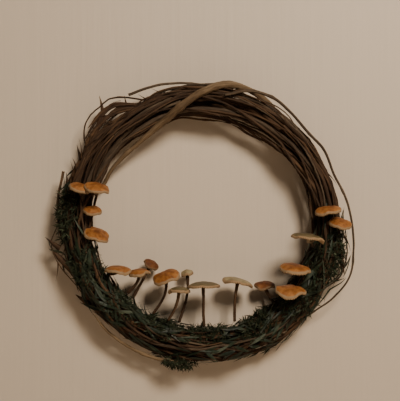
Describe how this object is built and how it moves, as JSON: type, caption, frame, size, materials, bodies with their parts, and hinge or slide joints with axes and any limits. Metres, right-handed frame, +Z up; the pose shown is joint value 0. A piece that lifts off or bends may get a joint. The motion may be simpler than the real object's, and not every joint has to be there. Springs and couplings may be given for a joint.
{
  "type": "harvest door wreath",
  "caption": "Round wreath of wound grapevines with moss pads and small orange mushrooms on thin stems round its lower half, for hanging flat on a door.",
  "frame": {"origin": "where the nail bears: on the door's surface, right under the back vines at the top of the ring", "axes": "+Z up, +X to the viewer's right, +Y from the wreath into the door; the wreath stands out towards -Y"},
  "size_m": [0.3033, 0.0694, 0.2884],
  "materials": {
    "bark": "rough dark brown bark",
    "pale_bark": "rough light brown bark",
    "moss": "dull dark green moss and leaf blades",
    "cap_orange": "matt orange-brown top, cream gills",
    "cap_rust": "matt rust-brown top, cream gills",
    "cap_tan": "matt tan top, cream gills",
    "cap_cream": "matt cream top and gills",
    "stem": "dark brown twig"
  },
  "bodies": {
    "root": {"binding_vine": "pale_bark", "cap_bottom_1": "cap_cream", "cap_bottom_2": "cap_tan", "cap_bottom_3": "cap_tan", "cap_bottom_4": "cap_cream", "cap_left_1": "cap_orange", "cap_left_2": "cap_orange", "cap_left_3": "cap_orange", "cap_left_4": "cap_orange", "cap_low_left_1": "cap_orange", "cap_low_left_2": "cap_orange", "cap_low_left_3": "cap_rust", "cap_low_left_4": "cap_orange", "cap_low_right_1": "cap_rust", "cap_low_right_2": "cap_orange", "cap_right_1": "cap_orange", "cap_right_2": "cap_tan", "cap_right_3": "cap_orange", "cap_right_4": "cap_orange", "core_vine_1": "bark", "core_vine_2": "bark", "core_vine_3": "bark", "core_vine_4": "bark", "core_vine_5": "bark", "core_vine_6": "bark", "left_edge_vine": "bark", "long_tendril": "bark", "loose_vine_left": "bark", "lower_outer_vine": "bark", "moss_bottom": "moss", "moss_bottom_left": "moss", "moss_bottom_outer": "moss", "moss_bottom_right": "moss", "moss_left": "moss", "moss_left_upper": "moss", "moss_lower_left": "moss", "moss_lower_right": "moss", "moss_right": "moss", "stem_bottom_1": "stem", "stem_bottom_2": "stem", "stem_bottom_3": "stem", "stem_bottom_4": "stem", "stem_left_1": "stem", "stem_left_2": "stem", "stem_left_3": "stem", "stem_left_4": "stem", "stem_low_left_1": "stem", "stem_low_left_2": "stem", "stem_low_left_3": "stem", "stem_low_left_4": "stem", "stem_low_right_1": "stem", "stem_low_right_2": "stem", "stem_right_1": "stem", "stem_right_2": "stem", "stem_right_3": "stem", "stem_right_4": "stem", "wrap_vine_1": "bark", "wrap_vine_2": "bark"}
  },
  "joints": []
}
